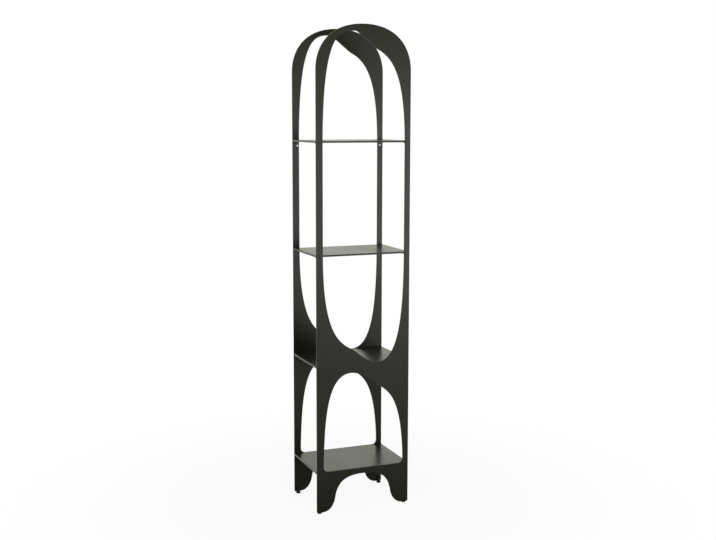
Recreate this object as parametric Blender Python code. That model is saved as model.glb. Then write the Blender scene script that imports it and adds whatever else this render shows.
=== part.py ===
"""Etagere: two flat arched steel plates, one behind the other, carrying four folded shelves.

Lengths are metres. +Z is up, the front faces -Y, and the origin lies on the floor at the middle of the
footprint. Each shelf rests on lugs welded to the plates and is held by screws driven up from below. The
whole stands on four screw-in glides.
"""
from math import ceil, cos, pi, sin, tau

import bmesh
import bpy
from mathutils import Matrix, Vector
from mathutils.geometry import interpolate_bezier

# Play left between two pieces that touch, and how far a cutter runs past what it cuts.
GAP = 0.0003
OVERRUN = 0.002

# Frames: two plates cut to one outline, the front one and the back one.
FRAME_WIDTH = 0.400
FRAME_HEIGHT = 1.940
FRAME_DEPTH = 0.285
PLATE = 0.005
ARCH_RISE = 0.178
FOOT_CORNER = 0.005
LEFT_LEG = 0.028
RIGHT_LEG = 0.0235
TOP_BAND = 0.028
MIDDLE_BAND = 0.0355
BOTTOM_BAND = 0.0235
LOWER_CORNER = 0.020
WALL_HOLE = 0.007
LEFT_HOLE_EDGE = 0.0065
RIGHT_HOLE_EDGE = 0.0114
WALL_HOLE_DROP = 0.0239

# Shelves: trays folded from sheet. Heights are of their top faces, from the plates' lower edges.
LOWEST_SHELF = 0.1675
LOWEST_BAY = 0.434
TOP_BAY = 0.4496
SHEET = 0.0015
SHELF_CORNER = 0.002
SHELF_NAMES = ("bottom_shelf", "lower_shelf", "upper_shelf", "top_shelf")

# Shelf fixings: a lug, a screw and a weld nut at each corner of each shelf.
LUG_WIDTH = 0.018
LUG_REACH = 0.018
LUG_PLATE = 0.003
LUG_EDGE = 0.003
LUG_CORNER = 0.004
SCREW_DIAMETER = 0.005
SCREW_HEAD = 0.0095
SCREW_HEAD_HEIGHT = 0.00275
SCREW_HEAD_TOP_SHARE = 0.55
SCREW_HEAD_RIM_SHARE = 0.2
SCREW_CHAMFER = 0.0004
SOCKET_WIDTH = 0.003
SOCKET_DEPTH = 0.0015
NUT_WIDTH = 0.008
NUT_HEIGHT = 0.004
NUT_COVER = 0.0015

# Glides: a pad on a stud, screwed into a block on the inner side of each foot.
GLIDE_HEIGHT = 0.0055
GLIDE_EDGE = 0.0143
BLOCK_WIDTH = 0.012
BLOCK_HEIGHT = 0.016
BLOCK_LIFT = 0.001
PAD_DIAMETER = 0.019
PAD_CHAMFER = 0.001
PAD_SOCKET = 0.0035
STUD_DIAMETER = 0.006
STUD_CHAMFER = 0.0006
STUD_TIP = 0.004

# How finely round stretches are cut into straight ones.
CURVE_PITCH = 0.008
CORNER_STEPS = 6
SMALL_SIDES = 12
ROUND_SIDES = 24

# The long opening's arched top, from its left wall over the crown to its right wall: anchors and handles
# of smooth curves, as shares of the opening's half width and half height from its centre.
UPPER_TOP_SHARES = (
    (-1, 0.322), (-1, 1), (-0.595, 1),
    (-0.205, 1), (-0.158, 1), (0.209, 0.913),
    (0.303, 0.899), (0.654, 0.851), (1, 0.775),
    (1, 0.328),
)

# Its bottom in the same order, turned half a turn about the centre. It is nearly the same arch.
UPPER_BOTTOM_SHARES = (
    (-1, 0.318), (-1, 0.795), (-0.818, 1),
    (-0.335, 1), (-0.085, 1), (0.143, 0.927),
    (0.303, 0.9055), (0.654, 0.857), (1, 0.775),
    (1, 0.328),
)

# The lower opening's arch in the same order: shares of the opening's half width from its centre and of
# its height from its flat bottom.
LOWER_ARCH_SHARES = (
    (-0.993, 0.097), (-0.959, 0.527), (-0.916, 1),
    (-0.312, 1), (-0.033, 1), (0.392, 0.847),
    (0.525, 0.801), (0.714, 0.735), (0.955, 0.615),
    (0.999, 0.099),
)

# One side of the frame's top, from its straight edge up to the crown: shares of the frame's half width
# and of the arch's rise.
TOP_ARCH_SHARES = ((1, 0), (1, 0.525), (0.7, 1), (0, 1))

# One side of the arch between the feet, from the foot's flat up to the crown: shares of the frame's half
# width and of the arch's height.
FEET_ARCH_SHARES = (
    (0.875, 0), (0.728, 0), (0.637, 0.168),
    (0.609, 0.385), (0.557, 0.836), (0.386, 1),
    (0, 1),
)

# Sizes that follow from the ones above.
HALF_WIDTH = FRAME_WIDTH / 2
INNER_FACE = FRAME_DEPTH / 2 - PLATE
TOP_SHELF = FRAME_HEIGHT - TOP_BAY
LOWER_SHELF = LOWEST_SHELF + LOWEST_BAY
UPPER_SHELF = (LOWER_SHELF + TOP_SHELF) / 2
SHELF_TOPS = (LOWEST_SHELF, LOWER_SHELF, UPPER_SHELF, TOP_SHELF)
SHELF_EDGE = SHEET + NUT_HEIGHT + NUT_COVER
OPENING_HALF = (FRAME_WIDTH - LEFT_LEG - RIGHT_LEG) / 2
OPENING_MIDDLE = (LEFT_LEG - RIGHT_LEG) / 2
LUG_TOP = SHELF_EDGE + GAP
LUG_MIDDLE = HALF_WIDTH - LUG_EDGE - LUG_WIDTH / 2
SCREW_INSET = INNER_FACE - LUG_REACH / 2
SCREW_SEAT = LUG_TOP + LUG_PLATE + GAP
SCREW_HOLE = SCREW_DIAMETER + 2 * GAP
GLIDE_X = HALF_WIDTH - GLIDE_EDGE
GLIDE_Y = INNER_FACE - BLOCK_WIDTH / 2
STUD_HOLE = STUD_DIAMETER + 2 * GAP
PAD_TOP = GLIDE_HEIGHT - GAP

CORNERS = {"front_left": (-1, -1), "front_right": (1, -1), "back_left": (-1, 1), "back_right": (1, 1)}


def clear_scene():
    for item in list(bpy.data.objects):
        bpy.data.objects.remove(item, do_unlink=True)


def make_material(name, colour, roughness, metallic):
    material = bpy.data.materials.new(name)
    material.use_nodes = True
    surface = material.node_tree.nodes["Principled BSDF"]
    surface.inputs["Base Color"].default_value = (*colour, 1)
    surface.inputs["Roughness"].default_value = roughness
    surface.inputs["Metallic"].default_value = metallic
    return material


def add_object(name, mesh, location, material):
    item = bpy.data.objects.new(name, mesh)
    item.location = location
    bpy.context.collection.objects.link(item)
    if not mesh.materials:
        mesh.materials.append(material)
    return item


def finish_mesh(name, shape):
    bmesh.ops.recalc_face_normals(shape, faces=shape.faces)
    mesh = bpy.data.meshes.new(name)
    shape.to_mesh(mesh)
    shape.free()
    mesh.shade_smooth()
    mesh.set_sharp_from_angle(angle=pi / 6)
    return mesh


# Outlines

def curve_points(corners):
    """Points along a chain of smooth curves, given as anchor, handle, handle, anchor and so on."""
    points = [Vector(corners[0])]
    for first in range(0, len(corners) - 1, 3):
        start, leaving, arriving, end = (Vector(corner) for corner in corners[first:first + 4])
        around = (leaving - start).length + (arriving - leaving).length + (end - arriving).length
        length = ((end - start).length + around) / 2
        points += interpolate_bezier(start, leaving, arriving, end, ceil(length / CURVE_PITCH) + 1)[1:]
    return points


def arc_points(centre, radius, start):
    """Points along a quarter turn, anticlockwise from the start angle."""
    angles = [start + pi / 2 * step / CORNER_STEPS for step in range(CORNER_STEPS + 1)]
    return [Vector(centre) + Vector((cos(angle), sin(angle))) * radius for angle in angles]


def frame_outline():
    """The plate's edge, anticlockwise from the right foot."""
    spring = FRAME_HEIGHT - ARCH_RISE
    right_arch = curve_points([(x * HALF_WIDTH, spring + z * ARCH_RISE) for x, z in TOP_ARCH_SHARES])
    height = LOWEST_SHELF - BOTTOM_BAND
    right_foot = curve_points([(x * HALF_WIDTH, z * height) for x, z in FEET_ARCH_SHARES])
    inset = HALF_WIDTH - FOOT_CORNER
    right_corner = arc_points((inset, FOOT_CORNER), FOOT_CORNER, -pi / 2)
    right_side = right_foot[::-1] + right_corner + right_arch
    left_side = [Vector((-point.x, point.y)) for point in right_side[-2:0:-1]]
    return right_side + left_side


def upper_opening():
    """A lopsided arch over the opening's centre, and nearly the same arch turned half a turn under it."""
    floor = LOWER_SHELF
    half = (FRAME_HEIGHT - TOP_BAND - floor) / 2
    top = curve_points([(x * OPENING_HALF, z * half) for x, z in UPPER_TOP_SHARES])
    bottom = curve_points([(x * OPENING_HALF, z * half) for x, z in UPPER_BOTTOM_SHARES])
    centre = Vector((OPENING_MIDDLE, floor + half))
    return [centre + point for point in top] + [centre - point for point in bottom]


def lower_opening():
    """The arch over the bottom shelf, closed by a flat bottom with rounded corners."""
    height = LOWER_SHELF - MIDDLE_BAND - LOWEST_SHELF
    foot = Vector((OPENING_MIDDLE, LOWEST_SHELF))
    arch = curve_points([(x * OPENING_HALF, z * height) for x, z in LOWER_ARCH_SHARES])
    left = arch[0].x + LOWER_CORNER
    right = arch[-1].x - LOWER_CORNER
    right_corner = arc_points((right, LOWER_CORNER), LOWER_CORNER, -pi / 2)
    left_corner = arc_points((left, LOWER_CORNER), LOWER_CORNER, pi)
    return [foot + point for point in arch + right_corner[::-1] + left_corner[::-1]]


# Solids

def add_prism(shape, loops, low, high, turn=Matrix()):
    """Fills between closed loops of (x, y) points and raises the fill from the low to the high level."""
    edges = []
    for loop in loops:
        corners = [shape.verts.new((x, y, low)) for x, y in loop]
        for first, second in zip(corners, corners[1:] + corners[:1]):
            edges.append(shape.edges.new((first, second)))
    filled = bmesh.ops.triangle_fill(shape, use_beauty=True, edges=edges)
    faces = [part for part in filled["geom"] if isinstance(part, bmesh.types.BMFace)]
    base = {corner for face in faces for corner in face.verts}
    raised = bmesh.ops.extrude_face_region(shape, geom=faces, use_keep_orig=True)["geom"]
    top = [part for part in raised if isinstance(part, bmesh.types.BMVert)]
    bmesh.ops.translate(shape, verts=top, vec=(0, 0, high - low))
    bmesh.ops.transform(shape, verts=list(base) + top, matrix=turn)


def round_ring(diameter):
    return lambda angle: diameter / 2


def hexagon_ring(width):
    """A ring with flats the given width apart, two of them facing +Y and -Y."""
    def reach(angle):
        off_flat = (angle + pi / 6 - pi / 2) % (pi / 3) - pi / 6
        return width / 2 / cos(off_flat)
    return reach


def turned_mesh(name, rings, sides, hollow=False):
    """Rings stacked along Z, each a radius by angle and a height.

    Where the piece is hollow, its last ring meets its first.
    """
    shape = bmesh.new()
    angles = [tau * side / sides for side in range(sides)]
    loops = []
    for reach, height in rings:
        spots = [(reach(angle) * cos(angle), reach(angle) * sin(angle), height) for angle in angles]
        loops.append([shape.verts.new(spot) for spot in spots])
    pairs = list(zip(loops, loops[1:]))
    if hollow:
        pairs.append((loops[-1], loops[0]))
    else:
        shape.faces.new(loops[0])
        shape.faces.new(loops[-1])
    for lower, upper in pairs:
        for side in range(sides):
            after = (side + 1) % sides
            shape.faces.new((lower[side], lower[after], upper[after], upper[side]))
    return finish_mesh(name, shape)


# Frames

def lug_outline(side_x, inward):
    """A lug's plan in the frame's own axes: rooted in the plate's middle, its free corners rounded."""
    half = LUG_WIDTH / 2
    reach = PLATE / 2 + LUG_REACH
    corner = LUG_CORNER
    right_end = arc_points((half - corner, reach - corner), corner, 0)
    left_end = arc_points((corner - half, reach - corner), corner, pi / 2)
    plan = [Vector((-half, 0)), Vector((half, 0))] + right_end + left_end
    return [(side_x * LUG_MIDDLE + point.x, inward * point.y) for point in plan]


def block_outline(side_x, inward):
    half = BLOCK_WIDTH / 2
    reach = PLATE / 2 + BLOCK_WIDTH
    plan = ((-half, 0), (half, 0), (half, reach), (-half, reach))
    return [(side_x * GLIDE_X + x, inward * y) for x, y in plan]


def circle_outline(centre_x, centre_y, diameter, sides):
    angles = [tau * side / sides for side in range(sides)]
    radius = diameter / 2
    return [(centre_x + radius * cos(angle), centre_y + radius * sin(angle)) for angle in angles]


def join_by_boolean(frame, name, shape, operation):
    """Keeps the helper shape as a hidden wire object that a Boolean adds to the frame or cuts from it."""
    helper = bpy.data.objects.new(name, finish_mesh(name, shape))
    helper.location = frame.location
    helper.hide_render = True
    helper.display_type = "WIRE"
    bpy.context.collection.objects.link(helper)
    modifier = frame.modifiers.new(name, "BOOLEAN")
    modifier.operation = operation
    modifier.object = helper
    modifier.solver = "EXACT"


def add_frame(name, facing, material, wall_holes):
    """One plate with its lugs and blocks. It faces -Y with facing -1 and +Y with facing 1."""
    inward = -facing
    upright = Matrix.Rotation(pi / 2, 4, "X")
    plate = bmesh.new()
    add_prism(plate, (frame_outline(), upper_opening(), lower_opening()), -PLATE / 2, PLATE / 2, upright)
    place = (0, facing * (FRAME_DEPTH - PLATE) / 2, GLIDE_HEIGHT)
    frame = add_object(name, finish_mesh(name, plate), place, material)

    fittings = bmesh.new()
    holes = bmesh.new()
    screw_y = inward * (PLATE / 2 + LUG_REACH / 2)
    stud_y = inward * (PLATE / 2 + BLOCK_WIDTH / 2)
    for side_x in (-1, 1):
        for shelf_top in SHELF_TOPS:
            lug_top = shelf_top - LUG_TOP
            lug_bottom = lug_top - LUG_PLATE
            add_prism(fittings, (lug_outline(side_x, inward),), lug_bottom, lug_top)
            hole = circle_outline(side_x * LUG_MIDDLE, screw_y, SCREW_HOLE, SMALL_SIDES)
            add_prism(holes, (hole,), lug_bottom - OVERRUN, lug_top + OVERRUN)
        block_top = BLOCK_LIFT + BLOCK_HEIGHT
        add_prism(fittings, (block_outline(side_x, inward),), BLOCK_LIFT, block_top)
        hole = circle_outline(side_x * GLIDE_X, stud_y, STUD_HOLE, SMALL_SIDES)
        add_prism(holes, (hole,), BLOCK_LIFT - OVERRUN, block_top + OVERRUN)
    if wall_holes:
        hole_z = TOP_SHELF - WALL_HOLE_DROP
        left = OPENING_MIDDLE - OPENING_HALF - LEFT_HOLE_EDGE
        right = OPENING_MIDDLE + OPENING_HALF + RIGHT_HOLE_EDGE
        for hole_x in (left, right):
            hole = circle_outline(hole_x, hole_z, WALL_HOLE, ROUND_SIDES)
            add_prism(holes, (hole,), -PLATE / 2 - OVERRUN, PLATE / 2 + OVERRUN, upright)
    join_by_boolean(frame, name + "_fittings", fittings, "UNION")
    join_by_boolean(frame, name + "_holes", holes, "DIFFERENCE")


# Shelves and their fixings

def shelf_mesh():
    """A tray folded down along its four edges, hollow underneath; its top lies at height zero."""
    shape = bmesh.new()
    size = Vector((FRAME_WIDTH, 2 * (INNER_FACE - GAP), SHELF_EDGE))
    place = Matrix.Translation((0, 0, -SHELF_EDGE / 2))
    bmesh.ops.create_cube(shape, size=1, matrix=place @ Matrix.Diagonal((*size, 1)))
    posts = [edge for edge in shape.edges if abs(edge.verts[0].co.z - edge.verts[1].co.z) > SHELF_EDGE / 2]
    bmesh.ops.bevel(shape, geom=posts, offset=SHELF_CORNER, segments=3, affect="EDGES", profile=0.5)
    top = max(shape.faces, key=lambda face: face.calc_center_median().z)
    bmesh.ops.bevel(shape, geom=list(top.edges), offset=SHEET, segments=3, affect="EDGES", profile=0.5)
    shape.normal_update()
    bottom = min(shape.faces, key=lambda face: face.calc_center_median().z)
    bmesh.ops.inset_region(shape, faces=[bottom], thickness=SHEET, use_even_offset=True)
    hollow = bmesh.ops.extrude_discrete_faces(shape, faces=[bottom])["faces"][0]
    bmesh.ops.translate(shape, verts=hollow.verts, vec=(0, 0, SHELF_EDGE - SHEET))
    return finish_mesh("shelf", shape)


def screw_mesh():
    """A button-head screw, head down, its seat at height zero and its tip flush with the nut's top."""
    tip = SCREW_SEAT - SHEET - GAP
    rim = -SCREW_HEAD_HEIGHT * SCREW_HEAD_RIM_SHARE
    head_top = SCREW_HEAD * SCREW_HEAD_TOP_SHARE
    shoulder = (SCREW_HEAD + head_top) / 2
    rings = (
        (hexagon_ring(SOCKET_WIDTH), SOCKET_DEPTH - SCREW_HEAD_HEIGHT),
        (hexagon_ring(SOCKET_WIDTH), -SCREW_HEAD_HEIGHT),
        (round_ring(head_top), -SCREW_HEAD_HEIGHT),
        (round_ring(shoulder), -SCREW_HEAD_HEIGHT * 3 / 4),
        (round_ring(SCREW_HEAD), rim),
        (round_ring(SCREW_HEAD), 0),
        (round_ring(SCREW_DIAMETER), 0),
        (round_ring(SCREW_DIAMETER), tip - SCREW_CHAMFER),
        (round_ring(SCREW_DIAMETER - 2 * SCREW_CHAMFER), tip),
    )
    return turned_mesh("screw", rings, SMALL_SIDES)


def nut_mesh():
    """A hexagon weld nut, its top at height zero."""
    rings = (
        (hexagon_ring(NUT_WIDTH), -NUT_HEIGHT),
        (hexagon_ring(NUT_WIDTH), 0),
        (round_ring(SCREW_HOLE), 0),
        (round_ring(SCREW_HOLE), -NUT_HEIGHT),
    )
    return turned_mesh("nut", rings, SMALL_SIDES, hollow=True)


def add_shelves(coating, hardware):
    shelf = shelf_mesh()
    screw = screw_mesh()
    nut = nut_mesh()
    for shelf_name, height in zip(SHELF_NAMES, SHELF_TOPS):
        top = GLIDE_HEIGHT + height
        add_object(shelf_name, shelf, (0, 0, top), coating)
        for corner, (side_x, side_y) in CORNERS.items():
            x = side_x * LUG_MIDDLE
            y = side_y * SCREW_INSET
            add_object(f"{shelf_name}_screw_{corner}", screw, (x, y, top - SCREW_SEAT), hardware)
            add_object(f"{shelf_name}_nut_{corner}", nut, (x, y, top - SHEET - GAP), coating)


# Glides

def pad_mesh():
    """A round pad with a chamfered sole and a socket for the stud; it stands on height zero."""
    socket = PAD_TOP - PAD_SOCKET
    rings = (
        (round_ring(PAD_DIAMETER - 2 * PAD_CHAMFER), 0),
        (round_ring(PAD_DIAMETER), PAD_CHAMFER),
        (round_ring(PAD_DIAMETER), PAD_TOP - PAD_CHAMFER / 2),
        (round_ring(PAD_DIAMETER - PAD_CHAMFER), PAD_TOP),
        (round_ring(STUD_HOLE), PAD_TOP),
        (round_ring(STUD_HOLE), socket),
    )
    return turned_mesh("pad", rings, ROUND_SIDES)


def stud_mesh():
    """A threaded stud's core, standing in the pad's socket and reaching through the block."""
    foot = PAD_TOP - PAD_SOCKET + GAP
    tip = GLIDE_HEIGHT + BLOCK_LIFT + BLOCK_HEIGHT + STUD_TIP
    rings = (
        (round_ring(STUD_DIAMETER), foot),
        (round_ring(STUD_DIAMETER), tip - STUD_CHAMFER),
        (round_ring(STUD_DIAMETER - 2 * STUD_CHAMFER), tip),
    )
    return turned_mesh("stud", rings, SMALL_SIDES)


def add_glides(nylon, hardware):
    """Each glide hangs on an empty on its own vertical axis, because it screws out as one."""
    pad = pad_mesh()
    stud = stud_mesh()
    for corner, (side_x, side_y) in CORNERS.items():
        axis = bpy.data.objects.new(f"glide_axis_{corner}", None)
        axis.location = (side_x * GLIDE_X, side_y * GLIDE_Y, 0)
        bpy.context.collection.objects.link(axis)
        for piece, mesh, material in (("pad", pad, nylon), ("stud", stud, hardware)):
            item = add_object(f"glide_{piece}_{corner}", mesh, (0, 0, 0), material)
            item.parent = axis


clear_scene()
powder_coat = make_material("powder_coat", (0.013, 0.0128, 0.0088), 0.3, 0.0)
black_zinc = make_material("black_zinc", (0.023, 0.023, 0.025), 0.36, 1.0)
nylon_black = make_material("nylon", (0.005, 0.005, 0.005), 0.5, 0.0)
add_frame("front_frame", -1, powder_coat, wall_holes=False)
add_frame("back_frame", 1, powder_coat, wall_holes=True)
add_shelves(powder_coat, black_zinc)
add_glides(nylon_black, black_zinc)
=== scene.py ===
"""Looks of the etagere: coated plates and trays, lugs, screws and glides, lit in a white studio."""
from math import cos, pi, radians, sin, tau

import bmesh
import bpy
from mathutils import Matrix, Vector


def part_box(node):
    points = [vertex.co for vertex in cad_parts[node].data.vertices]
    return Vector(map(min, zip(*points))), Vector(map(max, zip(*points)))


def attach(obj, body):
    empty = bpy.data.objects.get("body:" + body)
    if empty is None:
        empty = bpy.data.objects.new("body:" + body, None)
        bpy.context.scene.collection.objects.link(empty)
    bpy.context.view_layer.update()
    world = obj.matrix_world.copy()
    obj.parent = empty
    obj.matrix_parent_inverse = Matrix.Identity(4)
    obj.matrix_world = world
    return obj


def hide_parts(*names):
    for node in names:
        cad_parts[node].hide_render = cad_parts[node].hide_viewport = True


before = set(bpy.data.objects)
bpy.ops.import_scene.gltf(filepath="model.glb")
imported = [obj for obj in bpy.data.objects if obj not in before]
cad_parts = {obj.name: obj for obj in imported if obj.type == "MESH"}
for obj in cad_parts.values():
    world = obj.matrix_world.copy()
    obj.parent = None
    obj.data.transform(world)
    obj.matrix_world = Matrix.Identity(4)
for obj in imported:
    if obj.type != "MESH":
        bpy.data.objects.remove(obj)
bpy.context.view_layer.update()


# Camera
# A photographer's camera stands front left at about eye height and looks slightly down, so that the
# top shelf is nearly edge on. Its focal length is given in pixels of the 716 pixel wide picture.

CAMERA_PLACE = (-1.6486, -4.1522, 1.5883)
CAMERA_YAW = 0.3849
CAMERA_PITCH = 0.1381
CAMERA_ROLL = 0.0018
FOCAL_PIXELS = 1100.6
PICTURE_WIDTH = 716

camera = bpy.data.objects.new("camera", bpy.data.cameras.new("camera"))
bpy.context.scene.collection.objects.link(camera)
camera.data.lens = camera.data.sensor_width * FOCAL_PIXELS / PICTURE_WIDTH
turn = Matrix.Rotation(-CAMERA_YAW, 4, "Z") @ Matrix.Rotation(pi / 2 - CAMERA_PITCH, 4, "X")
camera.matrix_world = Matrix.Translation(CAMERA_PLACE) @ turn @ Matrix.Rotation(CAMERA_ROLL, 4, "Z")
bpy.context.scene.camera = camera


# Frame plates
# Two identical 5 mm steel plates, laser cut to one outline with two openings, their edges rounded by
# deburring. The back one has two wall-fixing holes. All steel is powder coated after welding.

PLATE = 0.005
EDGE_RADIUS = 0.0006
LEFT_LEG = 0.028
RIGHT_LEG = 0.0235
TOP_BAND = 0.028
MIDDLE_BAND = 0.0355
BOTTOM_BAND = 0.0235
ARCH_RISE = 0.178
FOOT_CORNER = 0.005
OPENING_CORNER = 0.020
WALL_HOLE = 0.007
LEFT_HOLE_EDGE = 0.0065
RIGHT_HOLE_EDGE = 0.0114
WALL_HOLE_DROP = 0.0239
PLATE_CURVE_STEPS = 24
EDGE_STEPS = 2
SAME_SPOT_SHARE = 0.001
SMOOTH_UP_TO = radians(40)
FLAT_FACE_WEIGHT = 100
QUARTER_HANDLE_SHARE = 0.5523
TOP_ARCH_SHARES = ((1, 0), (1, 0.525), (0.7, 1), (0, 1))
FEET_ARCH_SHARES = (
    (0.875, 0), (0.728, 0), (0.637, 0.168), (0.609, 0.385), (0.557, 0.836), (0.386, 1), (0, 1),
)
UPPER_TOP_SHARES = (
    (-1, 0.322), (-1, 1), (-0.595, 1), (-0.205, 1), (-0.158, 1), (0.209, 0.913),
    (0.303, 0.899), (0.654, 0.851), (1, 0.775), (1, 0.328),
)
UPPER_BOTTOM_SHARES = (
    (-1, 0.318), (-1, 0.795), (-0.818, 1), (-0.335, 1), (-0.085, 1), (0.143, 0.927),
    (0.303, 0.9055), (0.654, 0.857), (1, 0.775), (1, 0.328),
)
LOWER_ARCH_SHARES = (
    (-0.993, 0.097), (-0.959, 0.527), (-0.916, 1), (-0.312, 1), (-0.033, 1), (0.392, 0.847),
    (0.525, 0.801), (0.714, 0.735), (0.955, 0.615), (0.999, 0.099),
)
COAT_COLOUR = "#1D1D12"
COAT_LIGHTER = "#212015"
COAT_ROUGHNESS = (0.27, 0.33)
COAT_IOR = 1.56
CLOUD_SPACING = 0.12
CLOUD_SPAN = (0.3, 0.7)
PEEL_SPACING = 0.0025
PEEL_DEPTH = 0.00001


def linear(hex_colour):
    """The linear RGBA of an sRGB colour written as #RRGGBB."""
    channels = [int(hex_colour[place:place + 2], 16) / 255 for place in (1, 3, 5)]
    return (*[c / 12.92 if c <= 0.04045 else ((c + 0.055) / 1.055) ** 2.4 for c in channels], 1)


def add_node(tree, kind, values={}, links={}, **settings):
    """Adds a node with its settings, its sockets' values and the outputs that feed its sockets."""
    node = tree.nodes.new(kind)
    for name, value in settings.items():
        setattr(node, name, value)
    for name, value in values.items():
        node.inputs[name].default_value = value
    for name, source in links.items():
        tree.links.new(source, node.inputs[name])
    return node


def new_material(name):
    """A new material with its node tree and its Principled surface."""
    material = bpy.data.materials.new(name)
    material.use_nodes = True
    return material, material.node_tree, material.node_tree.nodes["Principled BSDF"]


def powder_coat_material():
    """Fine satin polyester powder in a warm charcoal: a soft mirror at grazing angles, with a faint
    orange peel that is drawn coarser than life."""
    material, tree, surface = new_material("satin_powder_coat")
    place = add_node(tree, "ShaderNodeTexCoord").outputs["Object"]
    clouds = add_node(
        tree, "ShaderNodeTexNoise", {"Scale": 1 / CLOUD_SPACING, "Detail": 3}, {"Vector": place},
    )
    colour = add_node(
        tree, "ShaderNodeMix", {"A": linear(COAT_COLOUR), "B": linear(COAT_LIGHTER)},
        {"Factor": clouds.outputs["Fac"]}, data_type="RGBA",
    )
    faint, dense = CLOUD_SPAN
    low, high = COAT_ROUGHNESS
    gloss = add_node(
        tree, "ShaderNodeMapRange", {"From Min": faint, "From Max": dense, "To Min": low, "To Max": high},
        {"Value": clouds.outputs["Fac"]},
    )
    peel = add_node(
        tree, "ShaderNodeTexNoise", {"Scale": 1 / PEEL_SPACING, "Detail": 1}, {"Vector": place},
    )
    bump = add_node(
        tree, "ShaderNodeBump", {"Strength": 1, "Distance": PEEL_DEPTH}, {"Height": peel.outputs["Fac"]},
    )
    tree.links.new(colour.outputs["Result"], surface.inputs["Base Color"])
    tree.links.new(gloss.outputs["Result"], surface.inputs["Roughness"])
    tree.links.new(bump.outputs["Normal"], surface.inputs["Normal"])
    surface.inputs["IOR"].default_value = COAT_IOR
    return material


def place_shares(shares, width, height, corner=(0, 0)):
    """Points given as shares of a width and a height, measured from a corner."""
    return [Vector((corner[0] + x * width, corner[1] + z * height)) for x, z in shares]


def quarter_turn(start, end, corner):
    """Control points of a quarter circle from start to end, both heading for the corner."""
    start, end, corner = Vector(start), Vector(end), Vector(corner)
    return [start, start.lerp(corner, QUARTER_HANDLE_SHARE), end.lerp(corner, QUARTER_HANDLE_SHARE), end]


def mirrored(chain):
    """The chain on the other side of the middle, still running the same way round."""
    return [Vector((-point.x, point.y)) for point in reversed(chain)]


def circle_chains(centre_x, centre_z, radius):
    """Four quarter turns, each starting where the last one ends."""
    centre = Vector((centre_x, centre_z))
    sides = [Vector((cos(pi / 2 * side), sin(pi / 2 * side))) * radius for side in range(5)]
    return [
        quarter_turn(centre + start, centre + end, centre + start + end)
        for start, end in zip(sides, sides[1:])
    ]


def add_outline(curve, chains):
    """Adds a closed spline from chains of anchor, handle, handle, anchor, joined by straight lines."""
    spots = []
    for chain in chains:
        for index in range(0, len(chain), 3):
            before = chain[index - 1] if index else chain[index]
            after = chain[index + 1] if index + 1 < len(chain) else chain[index]
            spots.append((before, chain[index], after))
    spline = curve.splines.new("BEZIER")
    spline.bezier_points.add(len(spots) - 1)
    spline.use_cyclic_u = True
    for point, (before, anchor, after) in zip(spline.bezier_points, spots):
        point.handle_left_type = point.handle_right_type = "FREE"
        point.handle_left = (*before, 0)
        point.co = (*anchor, 0)
        point.handle_right = (*after, 0)


def plain_mesh(drawn):
    """Turns a drawn object, with its modifiers, into a plain mesh and removes the object."""
    bpy.context.scene.collection.objects.link(drawn)
    bpy.context.view_layer.update()
    mesh = bpy.data.meshes.new_from_object(drawn.evaluated_get(bpy.context.evaluated_depsgraph_get()))
    bpy.data.objects.remove(drawn)
    return mesh


def cut_from_sheet(outlines, thickness, edge_radius, resolution):
    """A flat piece lying about height zero, filled between closed outlines, with rounded edges."""
    curve = bpy.data.curves.new("cut", "CURVE")
    curve.dimensions = "2D"
    curve.fill_mode = "BOTH"
    curve.resolution_u = resolution
    curve.extrude = thickness / 2 - edge_radius
    curve.bevel_depth = edge_radius
    curve.bevel_resolution = EDGE_STEPS
    curve.offset = -edge_radius
    for chains in outlines:
        add_outline(curve, chains)
    shape = bmesh.new()
    shape.from_mesh(plain_mesh(bpy.data.objects.new("cut", curve)))
    same_spot = edge_radius * SAME_SPOT_SHARE
    bmesh.ops.remove_doubles(shape, verts=shape.verts, dist=same_spot)
    bmesh.ops.dissolve_degenerate(shape, edges=shape.edges, dist=same_spot)
    bmesh.ops.recalc_face_normals(shape, faces=shape.faces)
    return shape


def finish_piece(name, mesh, material, body, slot, *nodes):
    """Makes a mesh a piece, smooth where it bends and flat elsewhere, that rides its body."""
    mesh.materials.clear()
    mesh.materials.append(material)
    mesh.shade_smooth()
    mesh.set_sharp_from_angle(angle=SMOOTH_UP_TO)
    piece = bpy.data.objects.new(name, mesh)
    bpy.context.scene.collection.objects.link(piece)
    weighting = piece.modifiers.new("flat_faces", "WEIGHTED_NORMAL")
    weighting.keep_sharp = True
    weighting.weight = FLAT_FACE_WEIGHT
    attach(piece, body)
    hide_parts(*nodes)
    return piece


def mesh_of(shape):
    """The finished mesh of a shape under construction."""
    mesh = bpy.data.meshes.new("shape")
    shape.to_mesh(mesh)
    shape.free()
    return mesh


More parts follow.
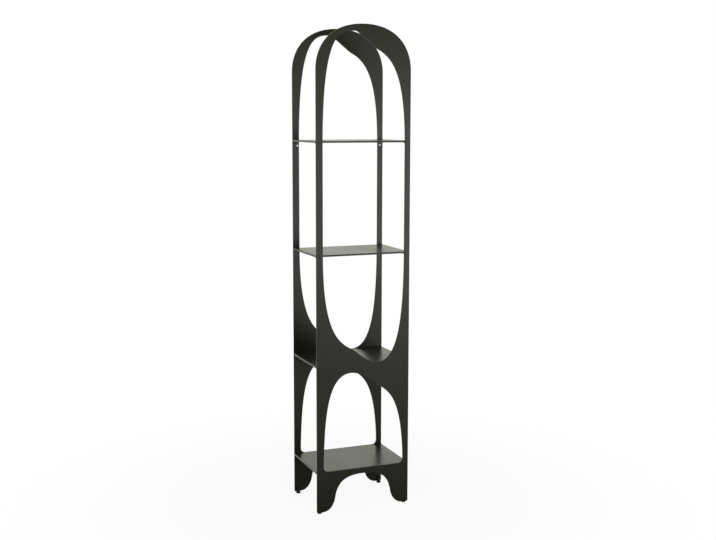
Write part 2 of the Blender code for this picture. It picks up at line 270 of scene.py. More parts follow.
def plate_outlines(low, high, wall_holes):
    """The plate's closed outlines, with heights measured from its lower edge."""
    half = (high.x - low.x) / 2
    height = high.z - low.z
    shelves = ("bottom_shelf", "lower_shelf", "upper_shelf", "top_shelf")
    tops = [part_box(shelf)[1].z - low.z for shelf in shelves]
    side = (
        place_shares(FEET_ARCH_SHARES, half, tops[0] - BOTTOM_BAND)[::-1],
        quarter_turn((half - FOOT_CORNER, 0), (half, FOOT_CORNER), (half, 0)),
        place_shares(TOP_ARCH_SHARES, half, ARCH_RISE, (0, height - ARCH_RISE)),
    )
    outer = [*side, *[mirrored(chain) for chain in reversed(side)]]

    opening_half = half - (LEFT_LEG + RIGHT_LEG) / 2
    opening_middle = (LEFT_LEG - RIGHT_LEG) / 2
    upper_half = (height - TOP_BAND - tops[1]) / 2
    centre = Vector((opening_middle, tops[1] + upper_half))
    top_end = place_shares(UPPER_TOP_SHARES, opening_half, upper_half)
    bottom_end = place_shares(UPPER_BOTTOM_SHARES, opening_half, upper_half)
    upper = [[centre + point for point in top_end], [centre - point for point in bottom_end]]

    floor = tops[0]
    rise = tops[1] - MIDDLE_BAND - floor
    arch = place_shares(LOWER_ARCH_SHARES, opening_half, rise, (opening_middle, floor))
    left = arch[0].x
    right = arch[-1].x
    raised = floor + OPENING_CORNER
    lower = [
        arch,
        quarter_turn((right, raised), (right - OPENING_CORNER, floor), (right, floor)),
        quarter_turn((left + OPENING_CORNER, floor), (left, raised), (left, floor)),
    ]
    outlines = [outer, upper, lower]
    if wall_holes:
        left_hole = opening_middle - opening_half - LEFT_HOLE_EDGE
        right_hole = opening_middle + opening_half + RIGHT_HOLE_EDGE
        for hole_x in (left_hole, right_hole):
            outlines.append(circle_chains(hole_x, tops[3] - WALL_HOLE_DROP, WALL_HOLE / 2))
    return outlines


def frame_plate(name, node, facing, wall_holes):
    """A frame plate stood upright where its node is, facing -1 to the front or 1 to the back."""
    low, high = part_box(node)
    outlines = plate_outlines(low, high, wall_holes)
    shape = cut_from_sheet(outlines, PLATE, EDGE_RADIUS, PLATE_CURVE_STEPS)
    outer_face = low.y if facing < 0 else high.y
    upright = Matrix.Rotation(pi / 2, 4, "X")
    place = Matrix.Translation((0, outer_face - facing * PLATE / 2, low.z))
    bmesh.ops.transform(shape, matrix=place @ upright, verts=shape.verts)
    finish_piece(name, mesh_of(shape), powder_coat, "etagere", "powder_coat", node)


powder_coat = powder_coat_material()
frame_plate("front_plate", "front_frame", -1, wall_holes=False)
frame_plate("back_plate", "back_frame", 1, wall_holes=True)


# Shelf lugs
# Sixteen 3 mm steel tabs with a hole for the shelf screw. Each is welded to the inner side of its plate
# by a fillet bead that runs along its underside and round both its edges.

LUG_WIDTH = 0.018
LUG_REACH = 0.018
LUG_PLATE = 0.003
LUG_CORNER = 0.004
LUG_EDGE_RADIUS = 0.0004
LUG_HOLE = 0.0056
LUG_ROOT = 0.001
SMALL_CURVE_STEPS = 6
PLAY = 0.0003
SHELVES = ("bottom_shelf", "lower_shelf", "upper_shelf", "top_shelf")
CORNERS = ("front_left", "front_right", "back_left", "back_right")
BEAD_RADIUS = 0.0014
BEAD_RIPPLE = 0.0013
BEAD_RIPPLE_DEPTH = 0.12
BEAD_RIPPLE_STEPS = 6
BEAD_BEND_STEPS = 4
BEAD_END_SHARE = 0.35
BEAD_SIDES = 10


def new_tree(name, **inputs):
    """A Geometry Nodes tree with named inputs, with its input node's outputs and its output's input."""
    tree = bpy.data.node_groups.new(name, "GeometryNodeTree")
    tree.interface.new_socket("Geometry", in_out="INPUT", socket_type="NodeSocketGeometry")
    for label, kind in inputs.items():
        tree.interface.new_socket(label, in_out="INPUT", socket_type="NodeSocket" + kind)
    tree.interface.new_socket("Geometry", in_out="OUTPUT", socket_type="NodeSocketGeometry")
    given = tree.nodes.new("NodeGroupInput").outputs
    return tree, given, tree.nodes.new("NodeGroupOutput").inputs["Geometry"]


def end_tree(tree, given, result, made):
    """Ends the tree in plain geometry with its material set."""
    real = add_node(tree, "GeometryNodeRealizeInstances", {}, {"Geometry": made})
    finished = add_node(
        tree, "GeometryNodeSetMaterial", {},
        {"Geometry": real.outputs["Geometry"], "Material": given["Material"]},
    )
    tree.links.new(finished.outputs["Geometry"], result)
    return tree


def grow(start, tree, **values):
    """Runs a tree on a mesh with values for its named inputs and gives a plain mesh."""
    holder = bpy.data.objects.new("holder", start)
    modifier = holder.modifiers.new("grow", "NODES")
    modifier.node_group = tree
    for socket in tree.interface.items_tree:
        if socket.name in values:
            modifier[socket.identifier] = values[socket.name]
    return plain_mesh(holder)


def weld_bead_tree():
    """A round bar along a path of edges, swelling with each ripple and thin at its two ends."""
    tree, given, result = new_tree(
        "weld_bead", Radius="Float", Ripple="Float", Depth="Float", Material="Material",
    )
    path = add_node(tree, "GeometryNodeMeshToCurve", {}, {"Mesh": given["Geometry"]})
    bends = add_node(
        tree, "GeometryNodeFilletCurve", {"Count": BEAD_BEND_STEPS},
        {"Curve": path.outputs["Curve"], "Radius": given["Radius"]}, mode="POLY",
    )
    step = add_node(
        tree, "ShaderNodeMath", {1: BEAD_RIPPLE_STEPS}, {0: given["Ripple"]}, operation="DIVIDE",
    )
    fine = add_node(
        tree, "GeometryNodeResampleCurve", {},
        {"Curve": bends.outputs["Curve"], "Length": step.outputs[0]}, mode="LENGTH",
    )
    along = add_node(tree, "GeometryNodeSplineParameter").outputs["Length"]
    whole = add_node(tree, "GeometryNodeSplineLength").outputs["Length"]
    left_over = add_node(tree, "ShaderNodeMath", {}, {0: whole, 1: along}, operation="SUBTRACT")
    to_end = add_node(
        tree, "ShaderNodeMath", {}, {0: along, 1: left_over.outputs[0]}, operation="MINIMUM",
    )
    taper = add_node(
        tree, "ShaderNodeMapRange", {"To Min": BEAD_END_SHARE, "To Max": 1},
        {"Value": to_end.outputs[0], "From Max": given["Radius"]}, interpolation_type="SMOOTHSTEP",
    )
    passed = add_node(tree, "ShaderNodeMath", {}, {0: along, 1: given["Ripple"]}, operation="DIVIDE")
    phase = add_node(tree, "ShaderNodeMath", {1: tau}, {0: passed.outputs[0]}, operation="MULTIPLY")
    wave = add_node(tree, "ShaderNodeMath", {}, {0: phase.outputs[0]}, operation="SINE")
    swell = add_node(
        tree, "ShaderNodeMath", {2: 1}, {0: wave.outputs[0], 1: given["Depth"]},
        operation="MULTIPLY_ADD",
    )
    scale = add_node(
        tree, "ShaderNodeMath", {}, {0: swell.outputs[0], 1: taper.outputs["Result"]},
        operation="MULTIPLY",
    )
    profile = add_node(
        tree, "GeometryNodeCurvePrimitiveCircle", {"Resolution": BEAD_SIDES},
        {"Radius": given["Radius"]},
    )
    bead = add_node(
        tree, "GeometryNodeCurveToMesh", {"Fill Caps": True},
        {"Curve": fine.outputs["Curve"], "Profile Curve": profile.outputs["Curve"],
         "Scale": scale.outputs[0]},
    )
    return end_tree(tree, given, result, bead.outputs["Mesh"])


def copies_tree():
    """Sets copies of a piece on points. Those behind the middle may be turned to face the other way, and
    each may be spun about its own upright axis by chance."""
    tree, given, result = new_tree(
        "copies", Piece="Object", TurnBehind="Float", Spin="Float", Seed="Int", Material="Material",
    )
    place = add_node(tree, "GeometryNodeInputPosition").outputs["Position"]
    depth = add_node(tree, "ShaderNodeSeparateXYZ", {}, {0: place}).outputs["Y"]
    behind = add_node(tree, "ShaderNodeMath", {1: 0}, {0: depth}, operation="GREATER_THAN")
    spin = add_node(
        tree, "FunctionNodeRandomValue", {}, {"Max": given["Spin"], "Seed": given["Seed"]},
        data_type="FLOAT",
    )
    turned = add_node(
        tree, "ShaderNodeMath", {},
        {0: behind.outputs[0], 1: given["TurnBehind"], 2: spin.outputs["Value"]},
        operation="MULTIPLY_ADD",
    )
    rotation = add_node(tree, "ShaderNodeCombineXYZ", {}, {"Z": turned.outputs[0]})
    piece = add_node(tree, "GeometryNodeObjectInfo", {}, {"Object": given["Piece"]})
    copies = add_node(
        tree, "GeometryNodeInstanceOnPoints", {},
        {"Points": given["Geometry"], "Instance": piece.outputs["Geometry"],
         "Rotation": rotation.outputs[0]},
    )
    return end_tree(tree, given, result, copies.outputs["Instances"])


weld_bead = weld_bead_tree()
copies = copies_tree()


def path_mesh(points):
    """A mesh of the points, joined by edges in their order."""
    mesh = bpy.data.meshes.new("path")
    mesh.from_pydata(points, [(index, index + 1) for index in range(len(points) - 1)], [])
    return mesh


def lay_bead(shape, points):
    """Adds a weld bead along the points to the shape."""
    shape.from_mesh(grow(
        path_mesh(points), weld_bead, Radius=BEAD_RADIUS, Ripple=BEAD_RIPPLE,
        Depth=BEAD_RIPPLE_DEPTH, Material=powder_coat,
    ))


def copy_to(places, original, material, turn_behind=0, spin=0, seed=0):
    """Copies an original mesh to each of the places and gives one mesh."""
    points = bpy.data.meshes.new("places")
    points.from_pydata(places, [], [])
    piece = bpy.data.objects.new("original", original)
    bpy.context.scene.collection.objects.link(piece)
    made = grow(
        points, copies, Piece=piece, TurnBehind=turn_behind, Spin=spin, Seed=seed, Material=material,
    )
    bpy.data.objects.remove(piece)
    return made


def fixing_places(corners, height_of):
    """Where the screws stand at the named corners. The height comes from where each shelf and each
    screw begin."""
    places = []
    for shelf in SHELVES:
        for corner in corners:
            low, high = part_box(f"{shelf}_screw_{corner}")
            middle = (low + high) / 2
            places.append((middle.x, middle.y, height_of(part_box(shelf)[0].z, low.z)))
    return places


def lug_mesh():
    """A front lug about its screw hole, its underside at height zero, with its weld bead."""
    half = LUG_WIDTH / 2
    reach = LUG_REACH / 2
    corner = LUG_CORNER
    outline = [
        [Vector((-half, -reach - LUG_ROOT))],
        [Vector((half, -reach - LUG_ROOT))],
        quarter_turn((half, reach - corner), (half - corner, reach), (half, reach)),
        quarter_turn((corner - half, reach), (-half, reach - corner), (-half, reach)),
    ]
    hole = circle_chains(0, 0, LUG_HOLE / 2)
    shape = cut_from_sheet([outline, hole], LUG_PLATE, LUG_EDGE_RADIUS, SMALL_CURVE_STEPS)
    bmesh.ops.translate(shape, verts=shape.verts, vec=(0, 0, LUG_PLATE / 2))
    side = half + PLAY
    root = -reach + PLAY
    upper = LUG_PLATE - BEAD_RADIUS
    lower = -PLAY
    heights = (upper, lower, lower, upper)
    lay_bead(shape, [(x, root, z) for x, z in zip((-side, -side, side, side), heights)])
    return mesh_of(shape)


lug = lug_mesh()
for end in ("front", "back"):
    corners = [corner for corner in CORNERS if corner.startswith(end)]
    places = fixing_places(corners, lambda shelf_z, screw_z: shelf_z - PLAY - LUG_PLATE)
    lugs = copy_to(places, lug, powder_coat, turn_behind=pi)
    finish_piece(f"{end}_lugs", lugs, powder_coat, "etagere", "powder_coat", f"{end}_frame")


# Glide blocks
# Four square steel blocks with a threaded hole, one on the inner side of each foot. A fillet bead up
# both sides and over the top holds each to its plate.

BLOCK_WIDTH = 0.012
BLOCK_HEIGHT = 0.016
BLOCK_LIFT = 0.001
BLOCK_CORNER = 0.001
BLOCK_EDGE_RADIUS = 0.0005
BLOCK_HOLE = 0.0063


def block_mesh():
    """A front block about its threaded hole, its underside at height zero, with its weld bead."""
    half = BLOCK_WIDTH / 2
    free = half - BLOCK_CORNER
    outline = [
        [Vector((-half, -half - LUG_ROOT))],
        [Vector((half, -half - LUG_ROOT))],
        quarter_turn((half, free), (free, half), (half, half)),
        quarter_turn((-free, half), (-half, free), (-half, half)),
    ]
    hole = circle_chains(0, 0, BLOCK_HOLE / 2)
    shape = cut_from_sheet([outline, hole], BLOCK_HEIGHT, BLOCK_EDGE_RADIUS, SMALL_CURVE_STEPS)
    bmesh.ops.translate(shape, verts=shape.verts, vec=(0, 0, BLOCK_HEIGHT / 2))
    side = half + PLAY
    root = -half + PLAY
    lower = BEAD_RADIUS
    upper = BLOCK_HEIGHT + PLAY
    heights = (lower, upper, upper, lower)
    lay_bead(shape, [(x, root, z) for x, z in zip((-side, -side, side, side), heights)])
    return mesh_of(shape)


def glide_axis(corner):
    """Where a glide's axis meets the floor."""
    low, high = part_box(f"glide_stud_{corner}")
    return Vector(((low.x + high.x) / 2, (low.y + high.y) / 2, 0))


block = block_mesh()
for end in ("front", "back"):
    lift = Vector((0, 0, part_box(f"{end}_frame")[0].z + BLOCK_LIFT))
    places = [glide_axis(corner) + lift for corner in CORNERS if corner.startswith(end)]
    blocks = copy_to(places, block, powder_coat, turn_behind=pi)
    finish_piece(f"{end}_glide_blocks", blocks, powder_coat, "etagere", "powder_coat", f"{end}_frame")


# Shelves
# Trays of 1.5 mm steel sheet. All four edges are folded down 7 mm over a small radius, and the corners
# are welded and ground flush before coating.

SHEET = 0.0015
FOLD_RADIUS = 0.0016
TRAY_CORNER = 0.002
LIP_RADIUS = 0.0003
TRAY_BEND_STEPS = 5
LIP_STEPS = 2


def folded_tray(name, node):
    """A tray in its node's box: a rounded block, hollowed from below down to the sheet."""
    low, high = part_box(node)
    shape = bmesh.new()
    middle = Matrix.Translation((low + high) / 2)
    bmesh.ops.create_cube(shape, size=1, matrix=middle @ Matrix.Diagonal((*(high - low), 1)))
    posts = [
        edge for edge in shape.edges
        if abs(edge.verts[0].co.z - edge.verts[1].co.z) > LIP_RADIUS
    ]
    bmesh.ops.bevel(
        shape, geom=posts, offset=TRAY_CORNER, segments=TRAY_BEND_STEPS, affect="EDGES", profile=0.5,
    )
    top = max(shape.faces, key=lambda face: face.calc_center_median().z)
    bmesh.ops.bevel(
        shape, geom=list(top.edges), offset=FOLD_RADIUS, segments=TRAY_BEND_STEPS, affect="EDGES",
        profile=0.5,
    )
    shape.normal_update()
    bottom = min(shape.faces, key=lambda face: face.calc_center_median().z)
    bmesh.ops.inset_region(shape, faces=[bottom], thickness=SHEET, use_even_offset=True)
    hollow = bmesh.ops.extrude_discrete_faces(shape, faces=[bottom])["faces"][0]
    bmesh.ops.translate(shape, verts=hollow.verts, vec=(0, 0, high.z - low.z - SHEET))
    rims = [
        edge for edge in shape.edges
        if all(abs(vertex.co.z - low.z) < LIP_RADIUS for vertex in edge.verts)
        and edge.calc_face_angle(0) > pi / 4
    ]
    bmesh.ops.bevel(
        shape, geom=rims, offset=LIP_RADIUS, segments=LIP_STEPS, affect="EDGES", profile=0.5,
    )
    bmesh.ops.recalc_face_normals(shape, faces=shape.faces)
    finish_piece(name, mesh_of(shape), powder_coat, "etagere", "powder_coat", node)


folded_tray("bottom_tray", "bottom_shelf")
folded_tray("lower_tray", "lower_shelf")
folded_tray("upper_tray", "upper_shelf")
folded_tray("top_tray", "top_shelf")


# Weld nuts
# Sixteen M5 hexagon weld nuts sit under the sheet inside the trays' folded edges. They are coated with
# the trays, so they keep their CAD solids and only take the coat.

for name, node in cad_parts.items():
    if "_nut_" in name:
        for material_slot in node.material_slots:
            material_slot.material = powder_coat


# Shelf screws
# Sixteen M5 button-head screws with a hexagon socket, black zinc plated, driven up from below through
# the lugs into the weld nuts. Their sockets point every way, as a hand leaves them.

SCREW_THREAD = 0.005
SCREW_PITCH = 0.0008
SCREW_THREAD_DEPTH = 0.0005
SCREW_CHAMFER = 0.0006
SCREW_HEAD = 0.0095
SCREW_HEAD_HEIGHT = 0.00275
SCREW_RIM = 0.0005
SCREW_CROWN = 0.0052
SCREW_SOCKET = 0.003
SCREW_SOCKET_DEPTH = 0.0015
SCREW_SIDES = 36
SCREW_ROD_SIDES = 16
DOME_STEPS = 5
THREAD_FLANK = (0.06, 0.42)
THREAD_TURN_STEPS = 6
SCREW_SEED = 7
BLACK_ZINC_COLOUR = "#2A2A2C"
BLACK_ZINC_LIGHTER = "#3A3936"
BLACK_ZINC_ROUGHNESS = (0.3, 0.42)
BLACK_ZINC_SPECK = 0.0009


def threaded_rod_tree():
    """A rod with a thread cut into it, standing about height zero, chamfered at both ends. The thread's
    flank spans part of the half pitch, and the rest is its flat crest and root."""
    tree, given, result = new_tree(
        "threaded_rod", Length="Float", Radius="Float", Pitch="Float", Depth="Float", Chamfer="Float",
        Sides="Int", Steps="Int", Material="Material",
    )
    rod = add_node(
        tree, "GeometryNodeMeshCylinder", {},
        {"Vertices": given["Sides"], "Side Segments": given["Steps"], "Radius": given["Radius"],
         "Depth": given["Length"]},
    )
    place = add_node(tree, "GeometryNodeInputPosition").outputs["Position"]
    spot = add_node(tree, "ShaderNodeSeparateXYZ", {}, {0: place}).outputs
    angle = add_node(tree, "ShaderNodeMath", {}, {0: spot["Y"], 1: spot["X"]}, operation="ARCTAN2")
    turns = add_node(tree, "ShaderNodeMath", {1: tau}, {0: angle.outputs[0]}, operation="DIVIDE")
    along = add_node(tree, "ShaderNodeMath", {}, {0: spot["Z"], 1: given["Pitch"]}, operation="DIVIDE")
    phase = add_node(
        tree, "ShaderNodeMath", {}, {0: along.outputs[0], 1: turns.outputs[0]}, operation="SUBTRACT",
    )
    ridge = add_node(tree, "ShaderNodeMath", {1: 0.5}, {0: phase.outputs[0]}, operation="PINGPONG")
    crest, root = THREAD_FLANK
    cut = add_node(
        tree, "ShaderNodeMapRange", {"From Min": crest, "From Max": root},
        {"Value": ridge.outputs[0], "To Max": given["Depth"]},
    )
    half = add_node(tree, "ShaderNodeMath", {1: 0.5}, {0: given["Length"]}, operation="MULTIPLY")
    shoulder = add_node(
        tree, "ShaderNodeMath", {}, {0: half.outputs[0], 1: given["Chamfer"]}, operation="SUBTRACT",
    )
    height = add_node(tree, "ShaderNodeMath", {}, {0: spot["Z"]}, operation="ABSOLUTE")
    bevel = add_node(
        tree, "ShaderNodeMapRange", {},
        {"Value": height.outputs[0], "From Min": shoulder.outputs[0], "From Max": half.outputs[0],
         "To Max": given["Chamfer"]},
    )
    inset = add_node(
        tree, "ShaderNodeMath", {}, {0: cut.outputs["Result"], 1: bevel.outputs["Result"]},
        operation="MAXIMUM",
    )
    share = add_node(
        tree, "ShaderNodeMath", {}, {0: inset.outputs[0], 1: given["Radius"]}, operation="DIVIDE",
    )
    narrow = add_node(tree, "ShaderNodeMath", {0: 1}, {1: share.outputs[0]}, operation="SUBTRACT")
    scale = add_node(
        tree, "ShaderNodeCombineXYZ", {"Z": 1}, {"X": narrow.outputs[0], "Y": narrow.outputs[0]},
    )
    moved = add_node(
        tree, "ShaderNodeVectorMath", {}, {0: place, 1: scale.outputs[0]}, operation="MULTIPLY",
    )
    threaded = add_node(
        tree, "GeometryNodeSetPosition", {},
        {"Geometry": rod.outputs["Mesh"], "Position": moved.outputs["Vector"]},
    )
    return end_tree(tree, given, result, threaded.outputs["Geometry"])


threaded_rod = threaded_rod_tree()


def add_rod(shape, low, high, diameter, pitch, depth, chamfer, sides, material):
    """Adds a threaded rod to the shape between two heights."""
    steps = round(THREAD_TURN_STEPS * (high - low) / pitch)
    made = grow(
        bpy.data.meshes.new("nothing"), threaded_rod, Length=high - low, Radius=diameter / 2,
        Pitch=pitch, Depth=depth, Chamfer=chamfer, Sides=sides, Steps=steps, Material=material,
    )
    made.transform(Matrix.Translation((0, 0, (low + high) / 2)))
    shape.from_mesh(made)


def round_ring(radius):
    """A ring's radius by angle: here the same all round."""
    return lambda angle: radius


def hexagon_ring(width):
    """A ring with flats the given width apart, two of them facing +Y and -Y."""
    return lambda angle: width / 2 / cos((angle + pi / 6 - pi / 2) % (pi / 3) - pi / 6)


def add_turned(shape, rings, sides):
    """Adds a closed skin over rings stacked along Z, each a radius by angle and a height."""
    loops = []
    for reach, height in rings:
        angles = [tau * side / sides for side in range(sides)]
        spots = [(reach(angle) * cos(angle), reach(angle) * sin(angle), height) for angle in angles]
        loops.append([shape.verts.new(spot) for spot in spots])
    skin = [shape.faces.new(loops[0]), shape.faces.new(loops[-1])]
    for lower, upper in zip(loops, loops[1:]):
        for side in range(sides):
            after = (side + 1) % sides
            skin.append(shape.faces.new((lower[side], lower[after], upper[after], upper[side])))
    bmesh.ops.recalc_face_normals(shape, faces=skin)


def screw_mesh(length):
    """A button-head screw, head down, its seat at height zero."""
    shape = bmesh.new()
    rim = SCREW_HEAD / 2
    crown = SCREW_CROWN / 2
    rings = [
        (hexagon_ring(SCREW_SOCKET), SCREW_SOCKET_DEPTH - SCREW_HEAD_HEIGHT),
        (hexagon_ring(SCREW_SOCKET), PLAY - SCREW_HEAD_HEIGHT),
        (round_ring(SCREW_SOCKET / 2 + PLAY), -SCREW_HEAD_HEIGHT),
    ]
    for step in range(DOME_STEPS + 1):
        angle = pi / 2 * step / DOME_STEPS
        depth = SCREW_RIM + (SCREW_HEAD_HEIGHT - SCREW_RIM) * cos(angle)
        rings.append((round_ring(crown + (rim - crown) * sin(angle)), -depth))
    rings += [(round_ring(rim), -PLAY / 3), (round_ring(rim - PLAY / 3), 0), (round_ring(crown / 2), 0)]
    add_turned(shape, rings, SCREW_SIDES)
    add_rod(
        shape, -PLAY, length, SCREW_THREAD, SCREW_PITCH, SCREW_THREAD_DEPTH, SCREW_CHAMFER,
        SCREW_ROD_SIDES, black_zinc,
    )
    return mesh_of(shape)


def black_zinc_material():
    """Zinc plate under a black chromate: a dark metal sheen that breaks into fine paler specks."""
    material, tree, surface = new_material("black_zinc_plate")
    place = add_node(tree, "ShaderNodeTexCoord").outputs["Object"]
    specks = add_node(
        tree, "ShaderNodeTexNoise", {"Scale": 1 / BLACK_ZINC_SPECK, "Detail": 2}, {"Vector": place},
    )
    colour = add_node(
        tree, "ShaderNodeMix", {"A": linear(BLACK_ZINC_COLOUR), "B": linear(BLACK_ZINC_LIGHTER)},
        {"Factor": specks.outputs["Fac"]}, data_type="RGBA",
    )
    low, high = BLACK_ZINC_ROUGHNESS
    gloss = add_node(
        tree, "ShaderNodeMapRange", {"To Min": low, "To Max": high}, {"Value": specks.outputs["Fac"]},
    )
    tree.links.new(colour.outputs["Result"], surface.inputs["Base Color"])
    tree.links.new(gloss.outputs["Result"], surface.inputs["Roughness"])
    surface.inputs["Metallic"].default_value = 1
    return material


black_zinc = black_zinc_material()
screw_low, screw_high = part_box("top_shelf_screw_front_left")
screw = screw_mesh(screw_high.z - screw_low.z - SCREW_HEAD_HEIGHT)
seats = fixing_places(CORNERS, lambda shelf_z, screw_z: screw_z + SCREW_HEAD_HEIGHT)
screws = copy_to(seats, screw, black_zinc, spin=tau, seed=SCREW_SEED)
screw_nodes = [f"{shelf}_screw_{corner}" for shelf in SHELVES for corner in CORNERS]
finish_piece("shelf_screws", screws, black_zinc, "etagere", "black_zinc", *screw_nodes)


# Levelling glides
# Four moulded black nylon pads with a fluted grip, each pressed onto an M6 stud in black zinc that
# screws into its foot's block. Turning the pad by hand raises or lowers the corner.

STUD_THREAD = 0.006
STUD_PITCH = 0.001
STUD_THREAD_DEPTH = 0.0006
STUD_CHAMFER = 0.0008
STUD_SIDES = 24
PAD_FLUTES = 24
PAD_FLUTE_DEPTH = 0.00025
PAD_FLUTE_SIDES = 6
PAD_SOLE_EDGE = 0.0012
PAD_SOLE_STEPS = 4
PAD_TOP_EDGE = 0.0008
PAD_TOP_STEPS = 3
PAD_RECESS = 0.0055
PAD_RECESS_DEPTH = 0.0006
NYLON_COLOUR = "#0D0D0D"
NYLON_LIGHTER = "#161616"
NYLON_ROUGHNESS = 0.5
NYLON_IOR = 1.53
NYLON_GRAIN = 0.0006
NYLON_GRAIN_DEPTH = 0.00002


def nylon_material():
    """Moulded black nylon: a matt skin with the fine grain of a spark-eroded mould."""
    material, tree, surface = new_material("moulded_nylon")
    place = add_node(tree, "ShaderNodeTexCoord").outputs["Object"]
    grain = add_node(
        tree, "ShaderNodeTexNoise", {"Scale": 1 / NYLON_GRAIN, "Detail": 2}, {"Vector": place},
    )
    colour = add_node(
        tree, "ShaderNodeMix", {"A": linear(NYLON_COLOUR), "B": linear(NYLON_LIGHTER)},
        {"Factor": grain.outputs["Fac"]}, data_type="RGBA",
    )
    bump = add_node(
        tree, "ShaderNodeBump", {"Strength": 1, "Distance": NYLON_GRAIN_DEPTH},
        {"Height": grain.outputs["Fac"]},
    )
    tree.links.new(colour.outputs["Result"], surface.inputs["Base Color"])
    tree.links.new(bump.outputs["Normal"], surface.inputs["Normal"])
    surface.inputs["Roughness"].default_value = NYLON_ROUGHNESS
    surface.inputs["IOR"].default_value = NYLON_IOR
    return material


def fluted_ring(radius):
    """A ring's radius by angle, dipping at each flute of the grip."""
    return lambda angle: radius - PAD_FLUTE_DEPTH * (1 - cos(PAD_FLUTES * angle)) / 2


def pad_mesh(low, high):
    """A pad about its own axis, standing on its sole, with a hollow middle below and a collar above."""
    shape = bmesh.new()
    radius = (high.x - low.x) / 2
    top = high.z - low.z
    rings = [(round_ring(PAD_RECESS - PLAY), PAD_RECESS_DEPTH), (round_ring(PAD_RECESS), 0)]
    for step in range(PAD_SOLE_STEPS + 1):
        angle = pi / 2 * step / PAD_SOLE_STEPS
        rings.append((
            round_ring(radius - PAD_SOLE_EDGE * (1 - sin(angle))), PAD_SOLE_EDGE * (1 - cos(angle)),
        ))
    rings += [
        (fluted_ring(radius), PAD_SOLE_EDGE + PLAY),
        (fluted_ring(radius), top - PAD_TOP_EDGE - PLAY),
    ]
    for step in range(PAD_TOP_STEPS + 1):
        angle = pi / 2 * step / PAD_TOP_STEPS
        rings.append((
            round_ring(radius - PAD_TOP_EDGE * (1 - cos(angle))), top - PAD_TOP_EDGE * (1 - sin(angle)),
        ))
    rings += [(round_ring(STUD_THREAD / 2 + PLAY), top), (round_ring(STUD_THREAD / 2), top - PLAY)]
    add_turned(shape, rings, PAD_FLUTES * PAD_FLUTE_SIDES)
    return mesh_of(shape)


def stud_mesh(low, high):
    """A stud about its own axis, at its own height."""
    shape = bmesh.new()
    add_rod(
        shape, low.z, high.z, STUD_THREAD, STUD_PITCH, STUD_THREAD_DEPTH, STUD_CHAMFER, STUD_SIDES,
        black_zinc,
    )
    return mesh_of(shape)


nylon = nylon_material()
for corner in CORNERS:
    body = f"glide_{corner}"
    pad_low, pad_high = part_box(f"glide_pad_{corner}")
    pad = pad_mesh(pad_low, pad_high)
    stud = stud_mesh(*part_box(f"glide_stud_{corner}"))
    for mesh in (pad, stud):
        mesh.transform(Matrix.Translation(glide_axis(corner)))
    finish_piece(f"pad_{corner}", pad, nylon, body, "nylon", f"glide_pad_{corner}")
    finish_piece(f"stud_{corner}", stud, black_zinc, body, "black_zinc", f"glide_stud_{corner}")


# Studio
# A white room: a pale floor that keeps a faint shadow, a white wall that is tall behind the object and
# low before it, and soft panels overhead, front right and low along the front. In the coat's gloss the
# floor is dimmer close to the object, which is painted shade, and dimmer far behind it.

FLOOR_SIZE = 14
FLOOR_COLOUR = "#D8D8D6"
ROOM_WHITE = "#FFFEF4"
FLOOR_WHITE_NEAR = 0.93
FLOOR_WHITE_FADE = (0.4, 1.6)
# The floor's strength in the gloss by distance: low near the object as painted shade, brighter further
# away.
FLOOR_GLOSS_AND_PAINTED_SHADE = ((0.25, 0.17), (0.9, 0.315), (1.8, 0.44), (4.0, 0.42), (6.5, 0.85))
FLOOR_TURN = (0.0, 0.5)
FLOOR_REAR_FADE = (3.6, 4.6)
FLOOR_REAR_FAR = 0.03
FRONT_WALL_TOP = (-0.04, 0.05)
FRONT_WALL = 0.95
FRONT_DARK = 0.03
REAR_WALL_TURN = (-0.1, 0.1)
ROOM_LIGHT = 0.26
SIDE_PANEL = ((2.2, -2.7, 1.0), (0, 0, 1.0), (2.2, 1.7), 8.4)
TOP_PANEL = ((-0.6, -1.2, 3.6), (0, 0, 0.9), (2.4, 2.4), 52)
LOW_PANEL = ((1.4, -6.4, 1.1), (1.4, 0, 1.1), (9.0, 1.7), 27)


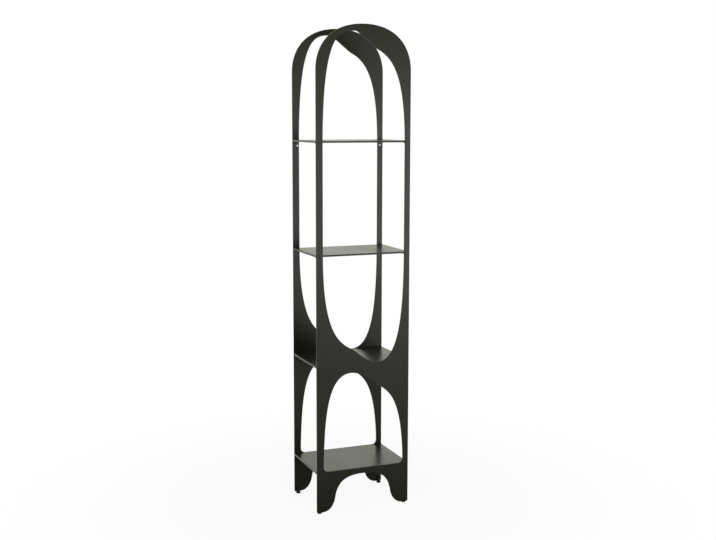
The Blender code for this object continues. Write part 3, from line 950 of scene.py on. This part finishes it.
def studio_floor():
    """A floor that is white to the camera but for its shadow, pale to the light, and bright in the gloss
    by a strength that changes with distance before the object, kept low close to it as painted shade,
    and fades out far behind it."""
    bpy.ops.mesh.primitive_plane_add(size=FLOOR_SIZE)
    floor = bpy.context.object
    floor.name = "floor"
    material, tree, surface = new_material("studio_floor")
    tree.nodes.clear()
    path = add_node(tree, "ShaderNodeLightPath")
    place = add_node(tree, "ShaderNodeTexCoord").outputs["Object"]
    reach = add_node(tree, "ShaderNodeVectorMath", {}, {0: place}, operation="LENGTH").outputs["Value"]
    near, away = FLOOR_WHITE_FADE
    whiteness = add_node(
        tree, "ShaderNodeMapRange",
        {"From Min": near, "From Max": away, "To Min": FLOOR_WHITE_NEAR, "To Max": 1},
        {"Value": reach}, interpolation_type="SMOOTHSTEP",
    )
    share = add_node(
        tree, "ShaderNodeMath", {}, {0: path.outputs["Is Camera Ray"], 1: whiteness.outputs["Result"]},
        operation="MULTIPLY",
    )
    # Painted shade: the floor's emitted strength in the gloss is kept low close to the object.
    far = add_node(tree, "ShaderNodeMath", {1: FLOOR_SIZE / 2}, {0: reach}, operation="DIVIDE")
    gloss_and_painted_shade = add_node(tree, "ShaderNodeValToRGB", {}, {"Fac": far.outputs[0]})
    stops = gloss_and_painted_shade.color_ramp.elements
    while len(stops) < len(FLOOR_GLOSS_AND_PAINTED_SHADE):
        stops.new(0.5)
    for stop, (distance, strength) in zip(stops, FLOOR_GLOSS_AND_PAINTED_SHADE):
        stop.position = distance / (FLOOR_SIZE / 2)
        stop.color = (strength, strength, strength, 1)
    depth = add_node(tree, "ShaderNodeSeparateXYZ", {}, {0: place}).outputs["Y"]
    front, back = FLOOR_TURN
    behind = add_node(
        tree, "ShaderNodeMapRange", {"From Min": front, "From Max": back}, {"Value": depth},
        interpolation_type="SMOOTHSTEP",
    )
    near, away = FLOOR_REAR_FADE
    rear = add_node(
        tree, "ShaderNodeMapRange",
        {"From Min": near, "From Max": away, "To Min": 1, "To Max": FLOOR_REAR_FAR},
        {"Value": depth}, interpolation_type="SMOOTHSTEP",
    )
    strength = add_node(
        tree, "ShaderNodeMix", {},
        {"Factor": behind.outputs["Result"], "A": gloss_and_painted_shade.outputs["Color"], "B": rear.outputs["Result"]},
        data_type="FLOAT",
    )
    lit = add_node(tree, "ShaderNodeBsdfDiffuse", {"Color": linear(FLOOR_COLOUR)})
    shown = add_node(
        tree, "ShaderNodeEmission", {"Color": linear(ROOM_WHITE)},
        {"Strength": strength.outputs["Result"]},
    )
    white = add_node(tree, "ShaderNodeEmission", {"Color": (1, 1, 1, 1), "Strength": 1})
    inner = add_node(
        tree, "ShaderNodeMixShader", {},
        {0: path.outputs["Is Glossy Ray"], 1: lit.outputs[0], 2: shown.outputs[0]},
    )
    outer = add_node(
        tree, "ShaderNodeMixShader", {},
        {0: share.outputs[0], 1: inner.outputs[0], 2: white.outputs[0]},
    )
    add_node(tree, "ShaderNodeOutputMaterial", {}, {"Surface": outer.outputs[0]})
    floor.data.materials.append(material)


def studio_world():
    """White to the camera, a soft even light for the surfaces, and a wall all round in the gloss."""
    world = bpy.data.worlds.new("white_room")
    bpy.context.scene.world = world
    world.use_nodes = True
    tree = world.node_tree
    tree.nodes.clear()
    path = add_node(tree, "ShaderNodeLightPath")
    direction = add_node(tree, "ShaderNodeTexCoord").outputs["Generated"]
    heading = add_node(tree, "ShaderNodeSeparateXYZ", {}, {0: direction}).outputs
    front, back = REAR_WALL_TURN
    behind = add_node(
        tree, "ShaderNodeMapRange", {"From Min": front, "From Max": back}, {"Value": heading["Y"]},
        interpolation_type="SMOOTHSTEP",
    )
    lowest, highest = FRONT_WALL_TOP
    before = add_node(
        tree, "ShaderNodeMapRange",
        {"From Min": lowest, "From Max": highest, "To Min": FRONT_WALL, "To Max": FRONT_DARK},
        {"Value": heading["Z"]}, interpolation_type="SMOOTHSTEP",
    )
    wall = add_node(
        tree, "ShaderNodeMath", {}, {0: behind.outputs["Result"], 1: before.outputs["Result"]},
        operation="MAXIMUM",
    )
    soft = add_node(tree, "ShaderNodeBackground", {"Color": (1, 1, 1, 1), "Strength": ROOM_LIGHT})
    shown = add_node(
        tree, "ShaderNodeBackground", {"Color": linear(ROOM_WHITE)}, {"Strength": wall.outputs[0]},
    )
    seen = add_node(tree, "ShaderNodeBackground", {"Color": (1, 1, 1, 1), "Strength": 1})
    inner = add_node(
        tree, "ShaderNodeMixShader", {},
        {0: path.outputs["Is Glossy Ray"], 1: soft.outputs[0], 2: shown.outputs[0]},
    )
    outer = add_node(
        tree, "ShaderNodeMixShader", {},
        {0: path.outputs["Is Camera Ray"], 1: inner.outputs[0], 2: seen.outputs[0]},
    )
    add_node(tree, "ShaderNodeOutputWorld", {}, {"Surface": outer.outputs[0]})


def soft_panel(name, place, target, size, power):
    """A soft rectangular lamp that stands at a place and faces a target."""
    light = bpy.data.lights.new(name, "AREA")
    light.shape = "RECTANGLE"
    light.size, light.size_y = size
    light.energy = power
    lamp = bpy.data.objects.new(name, light)
    lamp.location = place
    lamp.rotation_euler = (Vector(target) - Vector(place)).to_track_quat("-Z", "Y").to_euler()
    lamp.visible_camera = False
    bpy.context.scene.collection.objects.link(lamp)


studio_floor()
studio_world()
soft_panel("side_panel", *SIDE_PANEL)
soft_panel("top_panel", *TOP_PANEL)
soft_panel("low_panel", *LOW_PANEL)
bpy.context.scene.view_settings.view_transform = "Standard"
